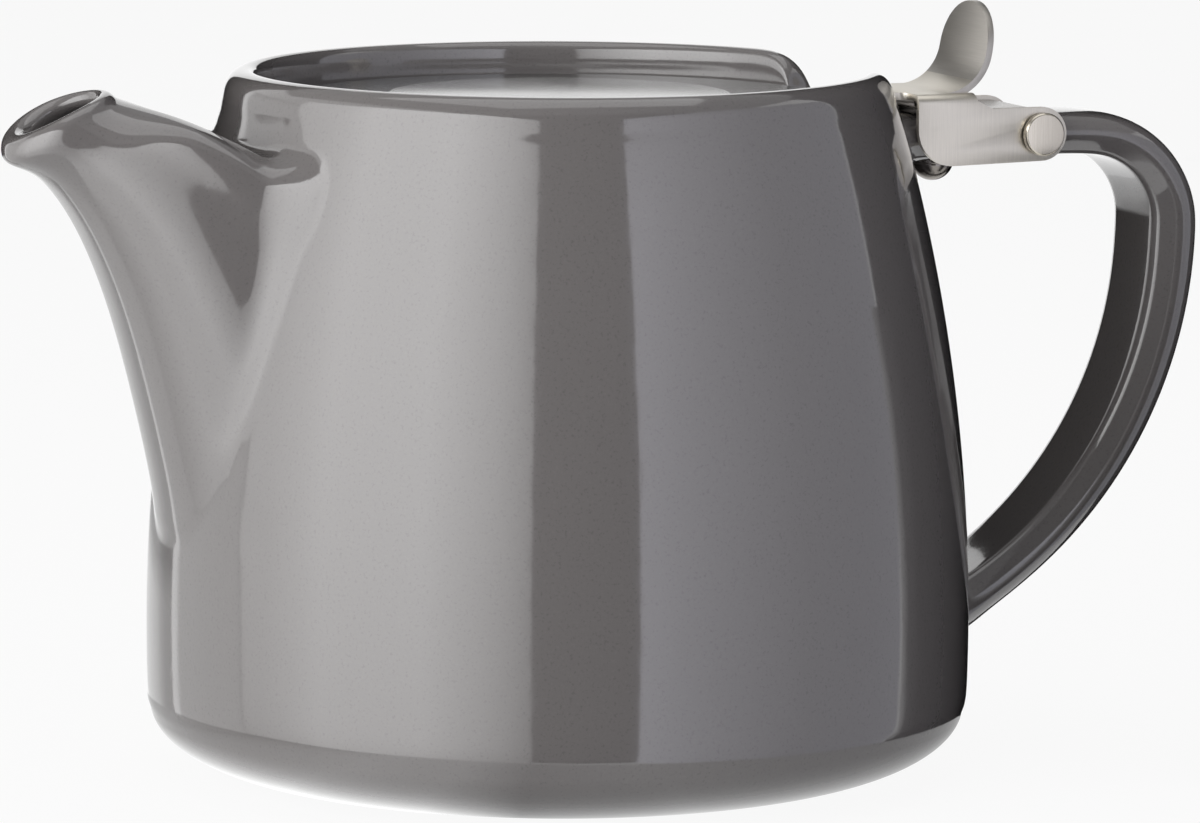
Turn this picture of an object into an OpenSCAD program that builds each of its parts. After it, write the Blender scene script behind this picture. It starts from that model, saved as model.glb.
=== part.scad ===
// Ceramic infuser teapot. Origin on the axis of the body at the foot plane, +Z up,
// spout towards -X, handle and lid hinge towards +X. Millimetres.

/* [Pot body] */
// Height of the rim above the foot
pot_h = 93; // [80:1:120]
// Widest diameter of the body
belly_d = 109; // [100:1:130]
// Height of the widest ring
belly_z = 19; // [16:1:26]
// Outer diameter at the rim
rim_d = 86; // [85:0.2:94]
// Wall thickness
wall = 4.2; // [3.8:0.1:5]
// Thickness of the floor
floor_t = 5; // [4:0.5:8]
// Width of the round between wall and foot
base_round_w = 19; // [12:0.5:21]
// Height of the round between wall and foot
base_round_h = 9; // [8:0.5:14]
// Width of the foot ring
foot_w = 4; // [3:0.5:6]
// Depth of the recess inside the foot ring
foot_recess = 1.4; // [0.8:0.1:2]
// Width of the rim's outer round
rim_round = 2.6; // [1.4:0.1:2.7]
// Height of the rim's outer round
rim_round_h = 3.6; // [1.4:0.1:5]

/* [Seat in the rim] */
// Width of the rim, from its outside to the collar above the seat
rim_w = 3.2; // [2.8:0.1:4.4]
// Depth of the seat below the rim
seat_depth = 6.8; // [6:0.1:8]
// Width of the seat
seat_w = 3.3; // [3:0.1:5]
// Thickness of the seat at its lip
seat_t = 2.4; // [1.8:0.1:4]
// Width of the notch on the handle side
notch_w = 25.6; // [24:0.2:30]
// Round of the notch shoulders
notch_round = 5.4; // [3:0.2:5.6]

/* [Spout] */
// Reach of the lip tip outside the rim
spout_out = 33.4; // [28:0.2:42]
// Height of the lip tip
spout_tip_z = 84.4; // [80:0.2:88]
// Length of the mouth, tip to back
mouth_len = 16.2; // [14:0.2:20]
// Slope of the mouth in degrees
mouth_slope = 25; // [15:1:35]
// Width of the mouth
mouth_w = 15; // [12:0.2:18]
// Wall of the spout
spout_wall = 2.6; // [2.2:0.1:3.2]
// Arch of the lip at the sides of the mouth
lip_arch = 0.8; // [0:0.1:1.5]
// Thickness of the rounded lip
lip_t = 2; // [1:0.1:2.4]
// Fall of the spout's top from the mouth to the body
spout_fall = 8.2; // [4:0.2:10]
// Height at which the spout's keel runs out on the body
keel_z = 33; // [28:1:45]
// Sweep of the keel above its end
keel_rise = 25; // [18:1:32]
// Bulge of the keel's lower part off the wall
keel_bulge = 3.8; // [3:0.2:8]
// Pull of the keel behind the lip
keel_pull = 10.6; // [7:0.2:13]
// Width of the root, halfway down its sections
root_w = 37; // [32:0.2:42]
// Flatness of the spout's top, as a share
top_flat = 0.42; // [0.1:0.02:0.5]
// Straightness of the flanks, as a share
flank_flat = 0.34; // [0.1:0.02:0.4]
// Narrowing of the flanks towards the keel, as a share
flank_wedge = 0.38; // [0.1:0.02:0.44]

/* [Handle] */
// Reach of the handle beyond the hinge pin
handle_out = 25.6; // [20:0.2:34]
// Width of the strap
strap_w = 14.4; // [12:0.2:15]
// Thickness of the strap at the arm
strap_t = 6; // [5.6:0.1:7.2]
// Thickness of the strap at the elbow
elbow_t = 7.8; // [6:0.1:8.4]
// Thickness of the strap at its lower root
tail_t = 6.4; // [5:0.1:8]
// Depth of the arm's middle below the rim
arm_depth = 10.5; // [10.2:0.1:12]
// Length of the arm's straight part beyond the hinge pin
arm_out = 5; // [4:0.5:7]
// Round of the strap's edges
strap_round = 2.6; // [1:0.1:2.7]
// Radius of the shoulder bend after the arm
shoulder_r = 60; // [30:1:80]
// Turn of the shoulder bend in degrees
shoulder_turn = 5; // [3:1:14]
// Radius of the long bend down to the body
bow_r = 56.2; // [50:0.2:60]
// Depth of the strap's end in the wall
root_sink = 1.5; // [1:0.1:3]
// Flare of the strap where it joins the wall
root_flare = 1; // [0:0.1:1.2]

/* [Lid hinge] */
// Distance of the pin from the front edge of the side plates
side_len = 18; // [16.5:0.1:21]
// Height of the pin above the arm's middle
pin_rise = 0.5; // [0:0.1:0.6]
// Diameter of the pin
pin_d = 3; // [2.5:0.1:3.2]
// Diameter of the pin heads
pin_head_d = 5.8; // [5:0.1:6.6]
// Thickness of the pin heads
pin_head_t = 1; // [0.8:0.1:1.6]
// Diameter of the stub riveted into the far head
stub_d = 2; // [1.6:0.1:2.2]
// Radial play of the lever on the pin
pin_play = 0.06; // [0.03:0.01:0.1]
// Radial room round the pin and the rivet in the ceramic
clay_room = 0.35; // [0.3:0.05:0.6]
// Gap between neighbouring sheets and heads
side_gap = 0.2; // [0.15:0.05:0.3]
// Thickness of the saddle sheet
saddle_t = 0.8; // [0.6:0.1:1]
// Length of the saddle along the arm
saddle_len = 9; // [8:0.2:12]
// Start of the saddle behind the lever's front edge
saddle_back = 1.6; // [1:0.1:2]
// Round of the saddle's lower corner
saddle_round = 2.5; // [1.5:0.1:3]
// Distance of the rivet from the front edge of the side plates
rivet_in = 6.1; // [5.6:0.1:7]
// Diameter of the rivet's shank
rivet_d = 2.9; // [2.5:0.1:3.2]
// Diameter of the rivet's dome
dome_d = 5.8; // [5:0.1:6.4]
// Height of the rivet's dome
dome_h = 2.5; // [1.5:0.1:2.6]
// Diameter of the washer under the arm
washer_d = 6.6; // [6:0.1:7.4]
// Thickness of the washer
washer_t = 0.7; // [0.5:0.1:1]

/* [Lid and lever] */
// Room between the lid and the collar
lid_room = 1.7; // [1.4:0.1:2.2]
// Thickness of the lid sheet
lid_t = 0.8; // [0.6:0.1:1]
// Gap between the lever's neck and the infuser flange
neck_gap = 0.2; // [0.15:0.05:0.4]
// Diameter of the raised middle
raised_d = 45; // [36:1:48]
// Height of the raised middle
raised_h = 0.9; // [0.5:0.1:1.5]
// Thickness of the lever sheet
lever_t = 0.9; // [0.7:0.1:1]
// Gap between the side plates' front edge and the wall
plate_gap = 0.6; // [0.5:0.1:1.5]
// Length of the top plate over the arm
plate_len = 8.3; // [8:0.1:9.5]
// Outer bend radius of the lever
bend_r = 1.3; // [1.1:0.1:2]
// Round of the side plates' lower corner
side_round = 5; // [3:0.2:5.4]
// Drop of the side plates' lower edge away from the pivot
side_drop = 0.3; // [0:0.1:0.6]
// Radius of the side plates' pivot end
ear_r = 3.6; // [3.4:0.1:4.2]
// Width of the neck
neck_w = 10; // [8:0.5:12]
// Length of the neck, from the top plate to its end under the lid
neck_len = 22; // [16:0.5:23]
// Length of the step down from the plate to the neck
neck_step = 3; // [2:0.1:4]
// Round between neck and plate
neck_fillet = 1.2; // [0.5:0.1:2]
// Width of the thumb tab
tab_w = 15; // [12:0.5:15.5]
// Start of the thumb tab behind the top plate's front edge
tab_start = 4.4; // [4:0.1:5.6]
// Bend radius of the thumb tab
tab_bend_r = 6.6; // [5.5:0.1:8]
// Bend of the thumb tab in degrees
tab_turn = 80; // [70:1:85]
// Length of the tab above its bend
tab_len = 6.7; // [5:0.1:8]
// Height of the tab's rounded tip
tab_tip_h = 6.2; // [4:0.1:7]

/* [Infuser] */
// Room between the flange and the collar
flange_room = 0.4; // [0.3:0.05:0.8]
// Thickness of the flange and ring
flange_t = 0.6; // [0.5:0.1:0.8]
// Room between the ring and the seat
ring_room = 0.5; // [0.4:0.05:0.8]
// Height of the plain ring below the flange
ring_h = 9; // [7:0.5:12]
// Room between the infuser and the pot's floor
infuser_room = 20; // [16:1:32]
// Taper of the infuser's radius
infuser_taper = 2.6; // [0:0.2:5]
// Thickness of the perforated sheet
mesh_t = 0.5; // [0.4:0.1:0.7]
// Diameter of the holes
hole_d = 2; // [1:0.1:2.4]
// Rows of holes in the sleeve
hole_rows = 6; // [3:1:8]
// Holes in each row
hole_cols = 18; // [12:1:24]
// Rings of holes in the base
base_rings = 3; // [2:1:4]
// Height of the base cup
base_h = 6; // [4:0.5:8]
// Corner round of the base cup
base_corner = 3; // [2:0.5:4]
// Lap of the sleeve inside the ring and the base
weld_lap = 1.5; // [1:0.1:2.5]

/* [Hidden] */

// Clay body
belly_r = belly_d / 2;
rim_r = rim_d / 2;
collar_r = rim_r - rim_w;
seat_hole_r = collar_r - seat_w;
rim_in_round = rim_w - rim_round - 0.02;
wall_arc_r = (pow(pot_h - belly_z, 2) + pow(belly_r - rim_r, 2)) / (2 * (belly_r - rim_r));
seat_z = pot_h - seat_depth;
clay = [0.36, 0.35, 0.36];
steel = [0.78, 0.77, 0.75];

// Outer radius of the wall at a height
function wall_r(z) = belly_r - wall_arc_r + sqrt(pow(wall_arc_r, 2) - pow(z - belly_z, 2));

// Quarter round from one angle to another, as points
function arc(cx, cy, rx, ry, a0, a1, n) =
    [for (i = [0:n]) let (a = a0 + (a1 - a0) * i / n) [cx + rx * cos(a), cy + ry * sin(a)]];

// Heights
arm_z = pot_h - arm_depth;
arm_top = arm_z + strap_t / 2;
arm_bottom = arm_z - strap_t / 2;
pin_z = arm_z + pin_rise;
flange_top = seat_z + flange_t;
lid_z = flange_top + neck_gap + lever_t;
lid_top = lid_z + lid_t;
lever_top = lid_top;
ear_bottom = pin_z - ear_r;

// Hinge places along X
plate_x = wall_r(ear_bottom - side_drop) + plate_gap;
pin_x = plate_x + side_len;
rivet_x = plate_x + rivet_in;

// Hinge widths, from the arm outwards
saddle_in = strap_w / 2 + side_gap;
saddle_out = saddle_in + saddle_t;
lever_in = saddle_out + side_gap;
lever_out = lever_in + lever_t;
head_in = lever_out + side_gap;
head_out = head_in + pin_head_t;
saddle_top = arm_top + side_gap + saddle_t;
tab_x = plate_x + tab_start;

// Infuser radii
ring_r = seat_hole_r - ring_room;
infuser_z = floor_t + infuser_room;
lid_r = collar_r - lid_room;
sleeve_top_r = ring_r - flange_t;
sleeve_bottom_r = sleeve_top_r - infuser_taper;
sleeve_top_z = flange_top - ring_h + weld_lap;
sleeve_bottom_z = infuser_z + base_h - weld_lap;

// Radius of the sleeve's outside at a height
function sleeve_r(z) = sleeve_bottom_r
    + (sleeve_top_r - sleeve_bottom_r) * (z - sleeve_bottom_z) / (sleeve_top_z - sleeve_bottom_z);

// Cubic curve through two ends with two handles
function bezier(p, t) = pow(1 - t, 3) * p[0] + 3 * pow(1 - t, 2) * t * p[1]
    + 3 * (1 - t) * t * t * p[2] + pow(t, 3) * p[3];

// Signed power, for rounded sections
function spow(v, e) = sign(v) * pow(abs(v), e);

// Unit vector
function unit(v) = v / norm(v);

// Spout, side view in X and Z: the tip, the back of the mouth, and the lines of top and keel
tip = [-rim_r - spout_out, spout_tip_z];
mouth_dir = [cos(mouth_slope), sin(mouth_slope)];
back = tip + mouth_len * mouth_dir;
top_end = [-rim_r + 3 * wall, back[1] - spout_fall - 2 * wall];
keel_end = [-wall_r(keel_z) - 0.3, keel_z];
top_line = [back + [0.5, -0.3], back + [mouth_len / 2, -1.8],
            [-wall_r(back[1] - spout_fall) + wall, back[1] - spout_fall], top_end];
keel_line = [tip + [0.9, -lip_t], tip + [keel_pull, -lip_t - 0.1],
             [keel_end[0] - keel_bulge, keel_z + keel_rise], keel_end];
spout_steps = 14;

// Side plates: length and lean of the step down behind the top plate, and the saddle's set-back
step_run = 2.4;
step_lean = 0.3;
ear_set_back = 0.5;
spout_sides = 32;

// Half width of the spout along its length, bowed a little in plan
plan_bow = 0.6;
function spout_half(t) = mouth_w / 2 + (root_w - mouth_w) / 2 * t * (1 + plan_bow - plan_bow * t);

// One ring of the spout between a top and a keel point, shrunk by a wall, shaped by a share
// of its flat top, straight flanks and narrow keel
function spout_section(top, keel, side, thin, share) =
    let (down = unit(keel - top), mid = (top + keel) / 2, half = norm(keel - top) / 2 - thin)
    [for (i = [0:spout_sides - 1])
        let (a = 360 * i / spout_sides)
        let (e = 1 - share * (cos(a) < 0 ? top_flat : flank_flat))
        let (w = side * (1 - share * flank_wedge * cos(a)) - thin)
        let (u = spow(cos(a), e) * half, v = spow(sin(a), e) * w)
        [mid[0] + down[0] * u, v, mid[1] + down[1] * u]];

// One ring along the spout's length, its shape complete a quarter of the way down
function spout_ring(t, thin) =
    spout_section(bezier(top_line, t), bezier(keel_line, t), spout_half(t), thin, min(1, t * 4));

// One ring of the mouth, shrunk by a wall, moved out along its normal, arched at its sides
function mouth_ring(thin, out) =
    let (n = [-mouth_dir[1], 0, mouth_dir[0]])
    [for (p = spout_section(back, tip, mouth_w / 2, thin, 0))
        p + n * (out + lip_arch * pow(2 * p[1] / mouth_w, 2))];

// Solid through a list of rings with equal counts of points
module loft(rings) {
    n = len(rings[0]);
    m = len(rings);
    polyhedron(
        points = [for (r = rings) for (p = r) p],
        faces = concat(
            [[for (i = [0:n - 1]) i]],
            [for (j = [0:m - 2]) for (i = [0:n - 1]) let (k = (i + 1) % n)
                each [[j * n + i, (j + 1) * n + i, (j + 1) * n + k],
                      [j * n + i, (j + 1) * n + k, j * n + k]]],
            [[for (i = [n - 1:-1:0]) (m - 1) * n + i]]));
}

// Extrusion of an X and Z outline along Y, centred
module along_y(w) {
    translate([0, w / 2, 0]) rotate([90, 0, 0]) linear_extrude(w) children();
}

// Extrusion of a Y and Z outline along X
module along_x(x0, x1) {
    translate([x0, 0, 0]) rotate([90, 0, 90]) linear_extrude(x1 - x0) children();
}

// Cylinder along Y, centred
module cross_bore(d, w) {
    rotate([90, 0, 0]) cylinder(d = d, h = w, center = true, $fn = 48);
}

// Outside of the clay body with its foot and rounded rim
module body_outside() {
    rotate_extrude($fn = 180) polygon(concat(
        [[0, foot_recess], [belly_r - base_round_w - foot_w - foot_recess, foot_recess],
         [belly_r - base_round_w - foot_w, 0]],
        arc(wall_r(base_round_h) - base_round_w, base_round_h, base_round_w, base_round_h, -90, 0, 10),
        [for (i = [1:12]) let (z = base_round_h + (pot_h - rim_round_h - base_round_h) * i / 12)
            [wall_r(z), z]],
        arc(wall_r(pot_h - rim_round_h) - rim_round, pot_h - rim_round_h, rim_round, rim_round_h, 15, 90, 5),
        arc(collar_r + rim_in_round, pot_h - rim_in_round, rim_in_round, rim_in_round, 90, 180, 5),
        [[collar_r, seat_z - seat_t], [0, seat_z - seat_t]]));
}

// Hollow of the body below the seat
module body_hollow() {
    in_top = seat_z - seat_t;
    slope = wall_r(in_top) - wall - seat_hole_r;
    corner = base_round_h - 0.5;
    rotate_extrude($fn = 180) polygon(concat(
        [[0, floor_t]],
        arc(belly_r - wall - corner, floor_t + corner, corner, corner, -90, 0, 6),
        [for (i = [1:8]) let (z = floor_t + corner + (in_top - slope - floor_t - corner) * i / 8)
            [wall_r(z) - wall, z]],
        [[seat_hole_r, in_top], [seat_hole_r, seat_z + 1], [0, seat_z + 1]]));
}

// Collar above the seat, where flange and lid lie
module collar_hollow() {
    translate([0, 0, seat_z]) cylinder(r = collar_r, h = seat_depth + 1, $fn = 180);
}

// Notch through the rim on the handle side, with rounded shoulders
module rim_notch() {
    half = notch_w / 2;
    floor_z = seat_z + 0.2;
    along_x(collar_r - 8, rim_r + 8) difference() {
        translate([-half - notch_round, floor_z])
            square([notch_w + 2 * notch_round, pot_h + 1 - floor_z]);
        for (s = [-1, 1]) {
            translate([s * (half + notch_round), pot_h - notch_round]) circle(notch_round, $fn = 48);
            translate([s * (half + notch_round / 2), floor_z + (pot_h - notch_round - floor_z) / 2])
                square([notch_round, pot_h - notch_round - floor_z], center = true);
        }
    }
}

// Outside of the spout
module spout_outside() {
    loft(concat(
        [mouth_ring(0.9, 0.7), mouth_ring(0.3, 0.5), mouth_ring(0, 0)],
        [for (j = [0:spout_steps]) spout_ring(j / spout_steps, 0)]));
}

// Passage from the hollow of the body to the mouth
module spout_passage() {
    loft(concat(
        [mouth_ring(spout_wall - 0.6, 3), mouth_ring(spout_wall - 0.4, 0)],
        [for (j = [1:spout_steps]) spout_ring(j / spout_steps, spout_wall + 0.9 * j / spout_steps)]));
}

// Outline of the strap, rounder on its outer face
function strap_outline(thick, grow) =
    let (w = strap_w / 2 + grow, t = thick / 2 + grow, r = strap_round, q = strap_round * 0.7)
    concat(arc(w - r, t - r, r, r, 0, 90, 4), arc(r - w, t - r, r, r, 90, 180, 4),
           arc(q - w, q - t, q, q, 180, 270, 4), arc(w - q, q - t, q, q, 270, 360, 4));

// Ring of the strap about a centre in X and Z, square to a heading that falls by an angle
function strap_ring(cx, cz, a, thick, grow) =
    [for (p = strap_outline(thick, grow)) [cx + p[1] * sin(a), p[0], cz + p[1] * cos(a)]];

// Rings along a bend about a centre, from one heading to another and one thickness to another
function strap_bend(cx, cz, r, a0, turn, t0, t1, n, root) =
    [for (i = [1:n]) let (a = a0 + turn * i / n)
        strap_ring(cx + r * sin(a), cz + r * cos(a), a, t0 + (t1 - t0) * i / n,
                   i > n - 3 ? root * pow(i - n + 3, 2) / 9 : 0)];

// Strap handle: straight arm, shoulder bend, tight elbow and long bow down to the wall
module handle() {
    arm_x = pin_x + arm_out;
    outer_x = pin_x + handle_out - elbow_t / 2;
    bow_turn = 90 - asin((belly_r - root_sink - outer_x + bow_r) / bow_r);
    elbow_x = arm_x + shoulder_r * sin(shoulder_turn);
    elbow_r = (outer_x - elbow_x) / (1 - sin(shoulder_turn));
    elbow_z = arm_z - shoulder_r * (1 - cos(shoulder_turn)) - elbow_r * cos(shoulder_turn);
    loft(concat(
        [for (i = [0:3]) strap_ring(rim_r - 1 + 2 * i, arm_z, 0, strap_t, root_flare * pow(1 - i / 3, 2))],
        [strap_ring(arm_x, arm_z, 0, strap_t, 0)],
        strap_bend(arm_x, arm_z - shoulder_r, shoulder_r, 0, shoulder_turn, strap_t, strap_t, 3, 0),
        strap_bend(outer_x - elbow_r, elbow_z, elbow_r, shoulder_turn, 90 - shoulder_turn,
                   strap_t, elbow_t, 8, 0),
        strap_bend(outer_x - bow_r, elbow_z, bow_r, 90, bow_turn, elbow_t, tail_t, 14, root_flare)));
}

// Pot: one slip-cast and glazed piece
module pot() {
    color(clay) difference() {
        union() {
            body_outside();
            spout_outside();
            handle();
        }
        body_hollow();
        spout_passage();
        collar_hollow();
        rim_notch();
        translate([pin_x, 0, pin_z]) cross_bore(pin_d + 2 * clay_room, strap_w + 2);
        translate([rivet_x, 0, arm_bottom - 1])
            cylinder(d = rivet_d + 2 * clay_room, h = strap_t + 2, $fn = 48);
    }
}

// Drawn ring of the infuser: flange and plain skirt
module infuser_ring() {
    color(steel) difference() {
        union() {
            translate([0, 0, seat_z]) cylinder(r = collar_r - flange_room, h = flange_t, $fn = 180);
            translate([0, 0, flange_top - ring_h]) cylinder(r = ring_r, h = ring_h, $fn = 180);
        }
        translate([0, 0, flange_top - ring_h - 1])
            cylinder(r = sleeve_top_r + 0.01, h = ring_h + 2, $fn = 180);
    }
}

// Perforated sleeve, welded inside the ring
module infuser_sleeve() {
    span = sleeve_top_z - sleeve_bottom_z;
    color(steel) difference() {
        translate([0, 0, sleeve_bottom_z])
            cylinder(r1 = sleeve_bottom_r, r2 = sleeve_top_r, h = span, $fn = 180);
        translate([0, 0, sleeve_bottom_z])
            cylinder(r1 = sleeve_bottom_r - mesh_t, r2 = sleeve_top_r - mesh_t, h = span, $fn = 180);
        for (j = [1:hole_rows], i = [0:hole_cols - 1])
            rotate([0, 0, 360 * (i + (j % 2) / 2) / hole_cols])
                translate([sleeve_bottom_r - 3, 0, sleeve_bottom_z + span * j / (hole_rows + 1)])
                    rotate([0, 90, 0]) cylinder(d = hole_d, h = 8, $fn = 24);
    }
}

// Shallow perforated cup that closes the sleeve
module infuser_base() {
    r = sleeve_r(infuser_z + base_h) + mesh_t;
    z = infuser_z;
    color(steel) difference() {
        rotate_extrude($fn = 180) polygon(concat(
            [[0, z]], arc(r - base_corner, z + base_corner, base_corner, base_corner, -90, 0, 6),
            [[r, z + base_h], [r - mesh_t, z + base_h]],
            arc(r - base_corner, z + base_corner, base_corner - mesh_t, base_corner - mesh_t, 0, -90, 6),
            [[0, z + mesh_t]]));
        translate([0, 0, z - 1]) cylinder(d = hole_d, h = 3, $fn = 24);
        for (k = [1:base_rings], i = [0:6 * k - 1])
            rotate([0, 0, 60 * i / k]) translate([(r - base_corner) * k / (base_rings + 0.4), 0, z - 1])
                cylinder(d = hole_d, h = 3, $fn = 24);
    }
}

// Pressed lid with a raised round middle
module lid_disc() {
    r = raised_d / 2;
    edge = lid_t / 4;
    color(steel) rotate_extrude($fn = 180) polygon([
        [0, lid_z + raised_h], [r - lid_t / 2, lid_z + raised_h], [r + raised_h, lid_z],
        [lid_r - edge, lid_z], [lid_r, lid_z + edge], [lid_r, lid_top - edge],
        [lid_r - edge, lid_top], [r + raised_h + lid_t / 2, lid_top],
        [r, lid_top + raised_h], [0, lid_top + raised_h]]);
}

// Side view of the folded part of the lever
module lever_side() {
    rear = plate_x + plate_len;
    step = pin_z + ear_r;
    low = ear_bottom - side_drop;
    difference() {
        polygon([[plate_x, lever_top], [plate_x, low], [plate_x + side_round, low],
                 [pin_x, ear_bottom], [pin_x, step], [rear + step_run, step],
                 [rear + step_lean, lever_top - bend_r + step_lean], [rear, lever_top]]);
        difference() {
            translate([plate_x - 1, low - 1]) square(side_round + 1);
            translate([plate_x + side_round, low + side_round]) circle(side_round, $fn = 64);
        }
    }
    translate([pin_x, pin_z]) circle(ear_r, $fn = 64);
}

// Folded U of sheet, open below: outside half width, top height, thickness, bend
module u_sheet(half, top, t, bend, low) {
    difference() {
        u_block(half, top, bend, low);
        u_block(half - t, top - t, bend - t + 0.01, low - 1);
    }
}

// Filled U with rounded upper corners
module u_block(half, top, bend, low) {
    translate([-half, low]) square([2 * half, top - bend - low]);
    translate([-half + bend, low]) square([2 * (half - bend), top - low]);
    for (s = [-1, 1]) translate([s * (half - bend), top - bend]) circle(bend, $fn = 32);
}

// Thumb tab, curving up out of the top plate to a rounded tip
module thumb_tab() {
    mid_r = tab_bend_r;
    z0 = lever_top - lever_t / 2 + mid_r;
    end = [tab_x + mid_r * sin(tab_turn), z0 - mid_r * cos(tab_turn)];
    run = [cos(tab_turn), sin(tab_turn)];
    tip_z = end[1] + tab_len * run[1];
    intersection() {
        union() {
            translate([tab_x, 0, z0]) rotate([90, 0, 0]) rotate([0, 0, -90])
                rotate_extrude(angle = tab_turn, $fn = 96)
                    translate([mid_r, 0]) square([lever_t, tab_w + 2], center = true);
            translate([end[0], 0, end[1]]) rotate([0, 90 - tab_turn, 0])
                translate([-lever_t / 2, -tab_w / 2 - 1, 0]) cube([lever_t, tab_w + 2, tab_len + 1]);
        }
        along_x(tab_x - 1, end[0] + 6) polygon(concat(
            [[-tab_w / 2, lever_top - lever_t - 1], [tab_w / 2, lever_top - lever_t - 1]],
            arc(0, tip_z - tab_tip_h, tab_w / 2, tab_tip_h, 0, 180, 24)));
    }
}

// Neck from the top plate through the notch, stepped down to lie under the lid, with a round end
module lever_neck() {
    x0 = plate_x - neck_len;
    low = lid_z - lever_t;
    high = lever_top - lever_t;
    x1 = plate_x - neck_fillet;
    linear_step = [[x0 + neck_w / 2, low], [x1 - neck_step, low], [x1, high], [plate_x + 1, high],
                   [plate_x + 1, lever_top], [x1 - 0.3, lever_top], [x1 - neck_step - 0.3, lid_z],
                   [x0 + neck_w / 2, lid_z]];
    along_y(neck_w) polygon(linear_step);
    translate([x0 + neck_w / 2, 0, low]) cylinder(d = neck_w, h = lever_t, $fn = 64);
    for (s = [-1, 1]) translate([x1, s * neck_w / 2, high]) difference() {
        translate([0, -neck_fillet, 0]) cube([neck_fillet, 2 * neck_fillet, lever_t]);
        translate([0, s * neck_fillet, -1]) cylinder(r = neck_fillet, h = lever_t + 2, $fn = 32);
    }
}

// Lever: one folded sheet, holes on the hinge pin
module lid_lever() {
    color(steel) difference() {
        union() {
            intersection() {
                along_x(plate_x - 1, pin_x + ear_r + 1)
                    u_sheet(lever_out, lever_top, lever_t, bend_r, ear_bottom - 2);
                along_y(2 * lever_out + 2) lever_side();
                tab_slot();
            }
            thumb_tab();
            lever_neck();
        }
        translate([pin_x, 0, pin_z]) cross_bore(pin_d + 2 * pin_play, 2 * lever_out + 2);
    }
}

// Room in the top plate where the tab lifts out of it
module tab_slot() {
    difference() {
        translate([plate_x - 2, -lever_out - 1, ear_bottom - 2])
            cube([pin_x + ear_r + 4 - plate_x, 2 * lever_out + 2, lever_top - ear_bottom + 4]);
        translate([tab_x, -tab_w / 2, lever_top - lever_t - 1])
            cube([plate_len + 4, tab_w, lever_t + 2]);
    }
}

// Side view of the saddle
module saddle_side() {
    x0 = plate_x + saddle_back;
    low = pin_z - ear_r + ear_set_back;
    r = ear_r - ear_set_back;
    difference() {
        union() {
            translate([x0, low]) square([saddle_len, saddle_top - low]);
            translate([x0, low]) square([pin_x - x0, pin_z + r - low]);
        }
        difference() {
            translate([x0 - 1, low - 1]) square(saddle_round + 1);
            translate([x0 + saddle_round, low + saddle_round]) circle(saddle_round, $fn = 48);
        }
    }
    translate([pin_x, pin_z]) circle(r, $fn = 64);
}

// Saddle: folded sheet over the arm, riveted down
module hinge_saddle() {
    color(steel) difference() {
        intersection() {
            along_x(plate_x, pin_x + ear_r + 1)
                u_sheet(saddle_out, saddle_top, saddle_t, saddle_t + 0.5, arm_bottom - 2);
            along_y(2 * saddle_out + 2) saddle_side();
        }
        translate([pin_x, 0, pin_z]) cross_bore(pin_d + 0.04, 2 * saddle_out + 2);
        translate([rivet_x, 0, arm_top]) cylinder(d = rivet_d + 0.1, h = saddle_top - arm_top + 1, $fn = 48);
    }
}

// Flat round head with a softened edge, lying from the origin along +Z
module flat_head(d, t) {
    c = t / 4;
    rotate_extrude($fn = 96) polygon([[0, 0], [d / 2, 0], [d / 2, t - c], [d / 2 - c, t], [0, t]]);
}

// Hinge pin with its near head
module hinge_pin() {
    color(steel) translate([pin_x, 0, pin_z]) rotate([90, 0, 0]) {
        translate([0, 0, head_in]) flat_head(pin_head_d, pin_head_t);
        translate([0, 0, -head_in]) cylinder(d = pin_d, h = 2 * head_in, $fn = 64);
        translate([0, 0, -head_out]) cylinder(d = stub_d, h = pin_head_t + 1, $fn = 48);
    }
}

// Far head, closed onto the stub of the pin
module pin_cap() {
    color(steel) translate([pin_x, 0, pin_z]) rotate([-90, 0, 0]) difference() {
        translate([0, 0, head_in]) flat_head(pin_head_d, pin_head_t);
        translate([0, 0, head_in - 1]) cylinder(d = stub_d + 0.02, h = pin_head_t + 2, $fn = 48);
    }
}

// Domed rivet from below, closed flat on the saddle
module saddle_rivet() {
    dome_top = arm_bottom - washer_t;
    dome_r = (pow(dome_d / 2, 2) + pow(dome_h, 2)) / (2 * dome_h);
    clinch_t = 0.8;
    color(steel) translate([rivet_x, 0, 0]) {
        intersection() {
            translate([0, 0, dome_top - dome_h + dome_r]) sphere(dome_r, $fn = 96);
            translate([0, 0, dome_top - dome_h]) cylinder(d = dome_d, h = dome_h, $fn = 96);
        }
        translate([0, 0, dome_top - 0.5]) cylinder(d = rivet_d, h = saddle_top - dome_top + 1, $fn = 48);
        translate([0, 0, saddle_top]) flat_head(rivet_d + 2, clinch_t);
    }
}

// Washer between the dome and the arm
module rivet_washer() {
    color(steel) translate([rivet_x, 0, arm_bottom - washer_t]) difference() {
        cylinder(d = washer_d, h = washer_t, $fn = 96);
        translate([0, 0, -1]) cylinder(d = rivet_d + 0.2, h = washer_t + 2, $fn = 48);
    }
}

pot();
infuser_ring();
infuser_sleeve();
infuser_base();
lid_disc();
lid_lever();
hinge_saddle();
hinge_pin();
pin_cap();
saddle_rivet();
rivet_washer();
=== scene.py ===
import math

import bmesh
import bpy
from mathutils import Matrix, Vector


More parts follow.
